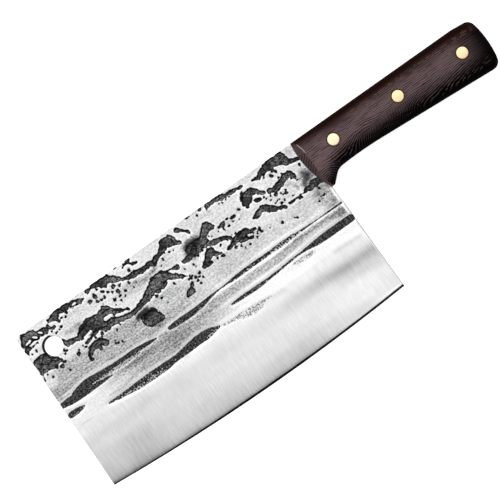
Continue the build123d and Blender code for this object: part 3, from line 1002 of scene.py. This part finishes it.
def lathe(name, centre, profile):
    """A closed turned piece from (radius, Z) points, the first and last on its axis."""
    count = TURNED_SIDES
    points, faces = [], []
    for radius, z in profile[1:-1]:
        ring = circle(centre, radius, count)
        points.append(np.column_stack([ring, np.full(count, z)]))
    for row in range(len(profile) - 3):
        a = np.arange(count) + row * count
        faces += np.column_stack([a, np.roll(a, -1), np.roll(a, -1) + count, a + count]).tolist()
    points += [np.array([[*centre, profile[0][1]]]), np.array([[*centre, profile[-1][1]]])]
    total = count * (len(profile) - 2)
    first, last = np.arange(count), np.arange(total - count, total)
    faces += np.column_stack([np.full(count, total), np.roll(first, -1), first]).tolist()
    faces += np.column_stack([np.full(count, total + 1), last, np.roll(last, -1)]).tolist()
    return build(name, np.concatenate(points), faces)


def rivet_profile(face, sign, shank_radius, shank_end):
    """Slightly crowned head flush with the wood, and its shank."""
    profile = [(0, face)]
    for share in (0.25, 0.5, 0.75, 0.9):
        profile.append((RIVET_RADIUS * share, face - sign * HEAD_CROWN * share**2))
    for turn in range(6):
        angle = math.pi / 2 * turn / 5
        radius = RIVET_RADIUS - HEAD_RIM + HEAD_RIM * math.sin(angle)
        drop = HEAD_CROWN + HEAD_RIM * (1 - math.cos(angle))
        profile.append((radius, face - sign * drop))
    under_head = face - sign * HEAD_DEPTH
    profile += [(RIVET_RADIUS, under_head), (shank_radius, under_head)]
    return profile + [(shank_radius, shank_end), (0, shank_end)]


# ---- Materials ----


class Nodes:
    """One material's node tree. An input may be a number, a colour or a socket."""

    def __init__(self, name):
        self.material = bpy.data.materials.new(name)
        self.material.use_nodes = True
        self.tree = self.material.node_tree
        self.tree.nodes.clear()
        place = self.add("ShaderNodeTexCoord", out="Object")
        self.mm = self.add(
            "ShaderNodeVectorMath", {0: place, 1: (1 / MM,) * 3}, operation="MULTIPLY"
        )

    def add(self, kind, inputs=None, out=0, **settings):
        """Output of a new node with these inputs and settings."""
        node = self.tree.nodes.new(kind)
        for key, value in settings.items():
            setattr(node, key, value)
        for key, value in (inputs or {}).items():
            if isinstance(value, bpy.types.NodeSocket):
                self.tree.links.new(value, node.inputs[key])
            else:
                node.inputs[key].default_value = value
        return node.outputs[out]

    def math(self, operation, a, b=0.0, clamp=False):
        """One sum, clamped to 0 to 1 if asked."""
        return self.add("ShaderNodeMath", {0: a, 1: b}, operation=operation, use_clamp=clamp)

    def total(self, first, *others):
        """The sum of all of them."""
        for other in others:
            first = self.math("ADD", first, other)
        return first

    def product(self, first, *others):
        """All of them multiplied."""
        for other in others:
            first = self.math("MULTIPLY", first, other)
        return first

    def less(self, a, b):
        """a without b."""
        return self.math("SUBTRACT", a, b)

    def length(self, x, y):
        """Length of a flat vector."""
        return self.math("SQRT", self.total(self.product(x, x), self.product(y, y)))

    def wave(self, value, spacing):
        """Sine wave that repeats after each spacing."""
        return self.math("SINE", self.product(value, 2 * math.pi / spacing))

    def blend(self, factor, a, b):
        """From value a where factor is 0 to value b where it is 1."""
        return self.add("ShaderNodeMix", {"Factor": factor, 2: a, 3: b})

    def ramp(self, value, low, high, to_low=0.0, to_high=1.0):
        """Smooth step from to_low at low to to_high at high."""
        inputs = {"Value": value, 1: low, 2: high, 3: to_low, 4: to_high}
        return self.add("ShaderNodeMapRange", inputs, interpolation_type="SMOOTHSTEP")

    def within(self, value, low, from_here, to_here, high):
        """1 from one inner place to the other, falling smoothly to 0 at low and at high."""
        return self.product(self.ramp(value, low, from_here), self.ramp(value, high, to_here))

    def axis(self, letter):
        """One of the object's own coordinates in mm."""
        return self.add("ShaderNodeSeparateXYZ", {0: self.mm}, out=letter)

    def back(self):
        """Millimetres back from the front of the blade."""
        return self.less(self.axis("X"), FRONT_X)

    def down(self):
        """Millimetres down from the spine."""
        return self.less(SPINE_Y, self.axis("Y"))

    def from_rivets(self):
        """Distance from the nearest rivet's axis in mm."""
        nearest = FAR
        for x, y in RIVET_CENTRES.values():
            radius = self.length(self.less(self.axis("X"), x), self.less(self.axis("Y"), y))
            nearest = self.math("MINIMUM", radius, nearest)
        return nearest

    def attribute(self, name):
        """A number stored on the mesh's points."""
        return self.add("ShaderNodeAttribute", out="Fac", attribute_name=name)

    def noise(self, per_mm, detail=2.0, rough=0.5, shift=0.0, twist=0.0):
        """Noise with that many features to a millimetre along X, Y and Z."""
        place = self.add(
            "ShaderNodeMapping",
            {"Vector": self.mm, "Scale": per_mm, "Location": (shift, shift, shift)},
        )
        inputs = {"Scale": 1.0, "Detail": detail, "Roughness": rough, "Distortion": twist}
        return self.add("ShaderNodeTexNoise", {"Vector": place, **inputs})

    def mix(self, factor, a, b, blend="MIX"):
        """From colour a to colour b."""
        inputs = {"Factor": factor, 6: a, 7: b}
        return self.add("ShaderNodeMix", inputs, out=2, data_type="RGBA", blend_type=blend)

    def bump(self, height, distance_mm, strength=1.0):
        """Normals for fine relief of that height."""
        inputs = {"Height": height, "Distance": distance_mm * MM, "Strength": strength}
        return self.add("ShaderNodeBump", inputs)

    def finish(self, **inputs):
        """The material, with these inputs to its one shader."""
        named = {key.replace("_", " "): value for key, value in inputs.items()}
        shader = self.add("ShaderNodeBsdfPrincipled", named)
        output = self.tree.nodes.new("ShaderNodeOutputMaterial")
        self.tree.links.new(shader, output.inputs["Surface"])
        return self.material


def grey(value):
    """A colour without hue."""
    return (value, value, value, 1.0)


def forged_steel():
    """Steel that the marks on the blade colour: scale, worn scale, bright steel, ground steel."""
    n = Nodes("forged_steel")
    back = n.back()
    down = n.down()
    scale_lean = n.attribute("scale_lean")
    drawn_lean = n.attribute("drawn_lean")
    edge_height = n.attribute("edge_height")

    # black scale in the hollows, blackest along its folds, with painted shade along its borders
    fine = n.noise((1.3, 1.3, 1.3), detail=4, rough=0.6)
    wobble = n.product(n.less(fine, 0.5), 0.9)
    scale_gap = n.total(n.attribute("scale_gap"), wobble)
    in_scale = n.ramp(scale_gap, 0.16, -0.12)
    mottle = n.noise((0.6, 0.75, 0.7), detail=2, rough=0.5, shift=23, twist=0.8)
    flecks = n.noise((0.85, 1.1, 1.0), detail=1, shift=61)
    scale_value = n.ramp(mottle, 0.38, 0.62, 0.015, 0.12)
    scale_value = n.total(scale_value, n.ramp(flecks, 0.56, 0.7, 0.0, 0.18))
    greyness = n.noise((0.07, 0.1, 0.1), detail=1, shift=83)
    scale_value = n.product(scale_value, n.ramp(greyness, 0.36, 0.64, 0.55, 1.5))
    # the scale is darker where the steel round it is darker
    steel_tone = n.ramp(n.attribute("steel"), 0.1, 0.5, 0.45, 1.0)
    scale_value = n.product(scale_value, steel_tone)
    # painted shade: a black band inside each hollow's border, wider on the spine's side, where the
    # wall faces away from the light
    rim_shade_width = n.ramp(scale_lean, -0.6, 0.8, -0.7, -1.5)
    rim_shade = n.ramp(n.math("DIVIDE", scale_gap, rim_shade_width), 0.95, 0.5)
    fold = n.ramp(n.total(n.attribute("fold_gap"), n.product(wobble, 0.5)), 0.35, -0.1)
    shade_and_fold = n.product(n.math("MAXIMUM", rim_shade, fold), 0.9)
    scale_value = n.product(scale_value, n.less(1.0, shade_and_fold))

    # worn scale in the drawn hollows
    drawn_gap = n.total(n.attribute("drawn_gap"), n.product(wobble, 0.7))
    speckle = n.noise((0.95, 1.15, 1.0), detail=2, rough=0.6, shift=7)
    hatch = n.noise((1.5, 0.25, 1.0), detail=1, rough=0.6, shift=37)
    speckle = n.total(n.product(speckle, 0.72), n.product(hatch, 0.28))
    in_drawn = n.ramp(drawn_gap, 0.25, -0.2)
    # the listed wear, plus more bare steel on the cutting edge's side of each drawn hollow: a
    # painted highlight where its wall faces the spine
    wear_and_highlight = n.total(n.attribute("wear"), n.ramp(drawn_lean, 0.3, -0.8, -0.08, 0.12))
    bare_from = n.ramp(wear_and_highlight, 0.0, 1.0, 0.66, 0.4)
    bare = n.ramp(n.less(speckle, bare_from), -0.03, 0.04)
    in_drawn = n.product(in_drawn, n.less(1.0, n.product(bare, 0.72)))
    drawn_value = n.ramp(speckle, 0.42, 0.6, 0.008, 0.11)
    in_worn = n.product(n.ramp(n.attribute("worn_gap"), 0.7, -0.7), n.ramp(speckle, 0.53, 0.46))
    in_worn = n.product(in_worn, 0.75)

    # bright steel: pebbled and brushed where forged, ground with upright strokes below
    clouds = n.noise((0.05, 0.07, 0.05), detail=3, shift=5)
    ground = n.ramp(n.total(down, n.product(clouds, 4.0)), 64.5, 69.5)
    forged = n.less(1.0, ground)
    pebbles = n.noise((0.8, 0.95, 0.9), detail=3, rough=0.7, shift=11)
    brushed = n.noise((0.07, 1.1, 1.0), detail=3, rough=0.65, shift=3)
    upright = n.noise((1.1, 0.1, 1.0), detail=3, rough=0.65, shift=17, twist=0.3)
    steel = n.attribute("steel")
    dull = n.ramp(steel, 0.9, 0.35, 0.17, 0.45)
    grain = n.total(n.ramp(pebbles, 0.34, 0.66, -0.5, 0.5), n.ramp(brushed, 0.3, 0.7, -0.22, 0.22))
    grain = n.product(grain, dull, n.ramp(steel, 0.05, 0.4, 0.1, 1.0), forged)
    strokes = n.product(n.less(upright, 0.5), n.product(ground, 0.3))
    steel = n.math("ADD", steel, n.total(grain, strokes), clamp=True)
    # painted shade: the honed bevel along the cutting edge is darkened nearly to black
    edge_width = n.total(n.ramp(back, 10.0, 110.0, 0.75, 1.45), n.ramp(clouds, 0.3, 0.7, -0.1, 0.1))
    bevel = n.ramp(n.less(edge_height, edge_width), 0.12, -0.12)
    steel = n.product(steel, n.less(1.0, n.product(bevel, 0.97)))

    black = n.math("MAXIMUM", n.math("MAXIMUM", in_scale, in_drawn), in_worn)
    dark = n.blend(in_scale, drawn_value, scale_value)
    value = n.blend(black, steel, dark)
    colour = n.add("ShaderNodeCombineColor", {0: value, 1: value, 2: n.product(value, 1.01)})
    roughness = n.total(n.ramp(ground, 0.0, 1.0, 0.4, 0.3), n.product(n.less(pebbles, 0.5), 0.15))
    roughness = n.blend(black, roughness, 0.6)
    height = n.product(n.total(pebbles, n.product(brushed, 0.5)), forged)
    height = n.total(height, n.product(upright, n.product(ground, 0.15)))
    height = n.total(height, n.product(n.product(mottle, 2.0), black))
    return n.finish(
        Base_Color=colour,
        Metallic=n.less(1.0, black),
        Roughness=roughness,
        Normal=n.bump(height, 0.07, 0.6),
        Specular_IOR_Level=0.06,
    )


WOOD_DARK = (0.0014, 0.001, 0.001, 1)
WOOD_PALE = (0.18, 0.118, 0.125, 1)
SHADED_FLANK_RED = (0.011, 0.0028, 0.0018, 1)  # a red cast in the painted shade on the flank that faces the spine
PORE = (0.004, 0.0022, 0.0022, 1)
FLECK = (0.19, 0.135, 0.105, 1)
CREASE_HIGHLIGHT = (0.5, 0.42, 0.41, 1)
RIVET_RING = (0.025, 0.014, 0.003, 1)
LAYER_SPACINGS = (1.15, 1.25, 1.2)  # in mm: level, rising and nested in the horn
END_GRAIN_SPACING = 2.3
HORN_CENTRE = (211.8, 31.5)  # of the nested layers


def wenge():
    """Dark wood whose growth layers run along the grip, rise towards the butt low down and
    are nested in the horn."""
    n = Nodes("dark_wood")
    back = n.back()
    down = n.down()
    depth = n.math("ABSOLUTE", n.less(n.axis("Z"), MID_Z))

    # three sets of growth layers
    wander = n.noise((0.03, 0.06, 0.06), detail=2, shift=2)
    ripple = n.noise((0.1, 0.22, 0.22), detail=3, shift=9)
    swell = n.product(n.within(back, 230, 246, 246, 258), n.within(down, 5, 13, 14, 22))
    lean = n.product(depth, 0.8)
    drift = n.product(wander, 4.0)
    level = n.total(down, drift, n.product(ripple, 1.9), n.product(swell, 2.2), lean)
    rise = n.product(back, n.ramp(back, 225, 285, 0.02, 0.17))
    rising = n.total(down, rise, n.product(wander, 5.0), n.product(ripple, 1.8), lean)
    horn_x, horn_y = HORN_CENTRE
    from_horn = n.length(n.product(n.less(back, horn_x), 0.75), n.less(down, horn_y))
    nested = n.total(from_horn, n.product(ripple, 1.2))
    level, rising, nested = (
        n.wave(layers, spacing)
        for layers, spacing in zip((level, rising, nested), LAYER_SPACINGS)
    )
    low = n.ramp(n.total(down, drift), 18.5, 22.5)
    horn = n.product(n.ramp(from_horn, 10.5, 8), n.ramp(back, 228, 220))
    wave = n.blend(horn, n.blend(low, level, rising), nested)

    # painted shade: the middle of the grip is pale, and the flanks, the belly and the butt are
    # darkened nearly to black
    lift = n.ramp(back, 232, 206, 0, 1.8)
    sink = n.total(n.ramp(back, 240, 335, 0, 3.6), n.ramp(back, 227, 208, 0, 9.5))
    top = n.ramp(n.total(down, lift), 2.0, 12.5, 0.0, 1.0)
    belly = n.less(down, sink)
    bottom = n.ramp(belly, 12, 24.5, 1.0, 0.0)
    end = n.ramp(back, 310, 335.5, 1.0, 0.02)
    shade = n.product(top, bottom, end, n.ramp(back, 250, 285, 1.0, 0.84))

    fibres = n.noise((0.12, 2.1, 2.1), detail=2, rough=0.6, shift=31)
    blotches = n.noise((0.06, 0.2, 0.2), detail=2, shift=71)
    contrast = n.ramp(belly, 13, 19)
    grain = n.product(wave, n.total(0.48, n.product(contrast, 0.35)))
    grain = n.total(grain, n.ramp(fibres, 0.3, 0.7, 0.6, 1.25))
    grain = n.product(grain, n.ramp(blotches, 0.3, 0.7, 0.85, 1.2))
    value = n.product(shade, grain)
    pale_lines = n.product(n.ramp(wave, 0.5, 0.95), n.within(belly, 16, 20, 24.5, 28), end)
    value = n.math("ADD", value, n.product(pale_lines, n.ramp(fibres, 0.42, 0.6), 0.42), clamp=True)

    # the slanted front, and a painted highlight along the crease where it meets the palm side
    ray_x = n.math("MINIMUM", n.less(n.axis("X"), FRONT_ARC_CENTRE[0]), 0.0)
    ray_y = n.less(n.axis("Y"), FRONT_ARC_CENTRE[1])
    radius = n.length(ray_x, ray_y)
    slope = FRONT_SLANT / SCALE_THICKNESS
    for start, end, narrower in FRONT_NARROWING:
        slope = n.total(slope, n.ramp(down, start, end, 0.0, -narrower / SCALE_THICKNESS))
    front_gap = n.total(radius, n.product(n.less(depth, SCALE_INNER), slope), -FRONT_ARC_RADIUS)
    front = n.ramp(front_gap, -0.5, -0.2)
    end_grain = n.wave(n.total(down, n.product(back, 1.1)), END_GRAIN_SPACING)
    end_grain = n.product(n.ramp(end_grain, 0.1, -0.8), n.within(down, 8, 11, 21, 26))
    front_value = n.less(n.ramp(fibres, 0.3, 0.7, 0.4, 0.85), n.product(end_grain, 0.45))
    front_value = n.product(front_value, n.ramp(down, 0.5, 3.5, 0.3, 1.0))
    value = n.blend(front, value, front_value)
    # painted highlight along the crease
    crease_highlight = n.within(front_gap, -1.05, -0.75, -0.55, -0.3)
    crease_highlight = n.product(crease_highlight, n.within(down, 2.4, 3.6, 8.5, 10.5))

    # golden flecks in two bands, dark pores everywhere
    flecks = n.noise((0.3, 0.8, 0.8), detail=2, rough=0.6, shift=43)
    band_top = n.product(n.within(down, 4, 5, 7, 8), n.ramp(back, 236, 244))
    band_low = n.product(n.within(belly, 21, 22.5, 25, 27), n.ramp(back, 275, 300), 0.35)
    dashes = n.product(n.ramp(flecks, 0.47, 0.54), n.ramp(wave, 0.2, 0.85))
    pale = n.product(dashes, n.math("MAXIMUM", band_top, band_low), n.ramp(back, 334, 331))
    pores = n.ramp(n.noise((0.2, 2.2, 2.2), detail=1, shift=57), 0.36, 0.28)

    colour = n.mix(value, WOOD_DARK, WOOD_PALE)
    # painted shade: a red cast on the darkened flank that faces the spine
    flank_shade_red = n.product(n.ramp(top, 0.0, 0.8, 1.0, 0.0), n.less(1.0, front), end)
    colour = n.mix(flank_shade_red, colour, SHADED_FLANK_RED, blend="ADD")
    colour = n.mix(n.product(pores, 0.6), colour, PORE)
    colour = n.mix(n.product(pale, 0.75), colour, FLECK)
    colour = n.mix(n.product(crease_highlight, 0.9), colour, CREASE_HIGHLIGHT)
    gap = n.ramp(n.from_rivets(), RIVET_RADIUS + 0.5, RIVET_RADIUS + 0.15)
    colour = n.mix(n.product(gap, 0.8), colour, RIVET_RING)
    height = n.total(n.product(n.ramp(wave, -1, 1), 0.6), n.product(fibres, 0.5))
    height = n.less(height, pores)
    return n.finish(
        Base_Color=colour,
        Roughness=n.ramp(value, 0.1, 0.9, 0.66, 0.46),
        Normal=n.bump(height, 0.12, 0.7),
        Specular_IOR_Level=0.005,
    )


GLUE_DARK = (0.012, 0.008, 0.007, 1)
GLUE_PALE = (0.035, 0.025, 0.02, 1)


def set_epoxy():
    """Dark glue with fine specks."""
    n = Nodes("epoxy")
    specks = n.noise((1.5, 1.5, 1.5), detail=3)
    colour = n.mix(specks, GLUE_DARK, GLUE_PALE)
    normal = n.bump(specks, 0.02)
    return n.finish(Base_Color=colour, Roughness=n.ramp(specks, 0.3, 0.7, 0.35, 0.5), Normal=normal)


BRASS_CLEAN = (0.96, 0.83, 0.57, 1)
BRASS_AGED = (0.89, 0.68, 0.38, 1)
BRASS_RIM_SHADE = (0.13, 0.07, 0.012, 1)


def brass():
    """Scratched brass, more aged towards the butt, with painted shade as a dark line inside each
    rim.
    """
    n = Nodes("brass")
    scratches = n.noise((2.5, 0.5, 0.5), detail=3, rough=0.6)
    tarnish = n.noise((0.35, 0.35, 0.35), detail=3, shift=4)
    back = n.back()
    ageing = n.total(n.ramp(tarnish, 0.35, 0.75, 0.0, 0.4), n.ramp(back, 226, 280, 0.0, 0.6))
    colour = n.mix(ageing, BRASS_CLEAN, BRASS_AGED)
    # painted shade on each head's rounded rim
    rim_shade = n.ramp(n.from_rivets(), RIVET_RADIUS - 0.6, RIVET_RADIUS - 0.35)
    colour = n.mix(n.product(rim_shade, 0.92), colour, BRASS_RIM_SHADE)
    roughness = n.total(0.22, n.product(scratches, 0.16))
    normal = n.bump(scratches, 0.015, 0.6)
    return n.finish(Base_Color=colour, Metallic=1.0, Roughness=roughness, Normal=normal)


def white_floor():
    """Plain white that glows a little, so that the background stays white."""
    n = Nodes("white_floor")
    return n.finish(
        Base_Color=grey(0.9),
        Roughness=0.7,
        Specular_IOR_Level=0.2,
        Emission_Color=grey(1.0),
        Emission_Strength=0.7,
    )


def paint(piece, material):
    """Give a piece one material."""
    piece.data.materials.clear()
    piece.data.materials.append(material)


# ---- Making it ----

steel = forged_steel()
wood = wenge()
blade = forging()
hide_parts("blade_and_tang")
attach(blade, "root")
paint(blade, steel)

for name, node, sign, seed in (
    ("upper_handle_scale", "upper_scale", 1, 5),
    ("lower_handle_scale", "lower_scale", -1, 8),
):
    half_handle = scale(name, node, sign, seed)
    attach(half_handle, "root")
    paint(half_handle, wood)

epoxy = set_epoxy()
for node in ("upper_epoxy_bed", "lower_epoxy_bed"):
    paint(frame["nodes"][node], epoxy)

metal = brass()
for rivet, centre in RIVET_CENTRES.items():
    for half, sign, radius in RIVET_HALVES:
        node = f"{rivet}_rivet_{half}"
        low, high = box_mm(node)
        face, end = (high[2], low[2]) if sign > 0 else (low[2], high[2])
        piece = lathe(node + "_turned", centre, rivet_profile(face, sign, radius, end))
        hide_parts(node)
        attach(piece, "root")
        paint(piece, metal)

# ---- Floor, light and camera ----

FLOOR_HALF = 3.0  # in metres
FLOOR_Z = -0.0002
floor_corners = [(-FLOOR_HALF, -FLOOR_HALF), (FLOOR_HALF, -FLOOR_HALF)]
floor_corners += [(FLOOR_HALF, FLOOR_HALF), (-FLOOR_HALF, FLOOR_HALF)]
floor_mesh = bpy.data.meshes.new("floor")
floor_mesh.from_pydata([(x, y, FLOOR_Z) for x, y in floor_corners], [], [range(4)])
floor = bpy.data.objects.new("floor", floor_mesh)
bpy.context.scene.collection.objects.link(floor)
paint(floor, white_floor())
floor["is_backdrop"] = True

WORLD_LIGHT = 0.6
world = bpy.data.worlds.new("studio")
world.use_nodes = True
world.node_tree.nodes["Background"].inputs["Color"].default_value = grey(1.0)
world.node_tree.nodes["Background"].inputs["Strength"].default_value = WORLD_LIGHT
bpy.context.scene.world = world


def softbox(name, place, size, brightness):
    """A flat lamp that faces the cleaver, of that brightness to whoever looks at it."""
    light = bpy.data.lights.new(name, "AREA")
    light.shape = "RECTANGLE"
    light.size, light.size_y = size
    light.energy = brightness * math.pi * size[0] * size[1]
    lamp = bpy.data.objects.new(name, light)
    lamp.location = place
    lamp.rotation_euler = (-Vector(place)).to_track_quat("-Z", "Y").to_euler()
    bpy.context.scene.collection.objects.link(lamp)


SOFTBOX_PLACE = (0, 1.1, 2.7)  # in metres from the frame's origin
SOFTBOX_SIZE = (3.2, 2.6)
SOFTBOX_BRIGHTNESS = 1.04
softbox("overhead", SOFTBOX_PLACE, SOFTBOX_SIZE, SOFTBOX_BRIGHTNESS)

CAMERA_HEIGHT = 6.0
FRAME_WIDTH = 0.3  # of the blade's plane
SENSOR = 36.0
AIM = from_blade(147.7, 38.2) * MM
CAMERA_TURN = -35.25  # degrees about the upright
camera_data = bpy.data.cameras.new("camera")
camera_data.sensor_width = SENSOR
camera_data.lens = SENSOR * CAMERA_HEIGHT / FRAME_WIDTH
camera_data.clip_start = 0.01
camera = bpy.data.objects.new("camera", camera_data)
camera.location = (*AIM, MID_Z * MM + CAMERA_HEIGHT)
camera.rotation_euler = (0, 0, math.radians(CAMERA_TURN))
bpy.context.scene.collection.objects.link(camera)
bpy.context.scene.camera = camera
bpy.context.scene.view_settings.view_transform = "Standard"

boxes = {"cad": cad_box, "visual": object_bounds()}
{key: [list(corner) for corner in corners] for key, corners in boxes.items()}
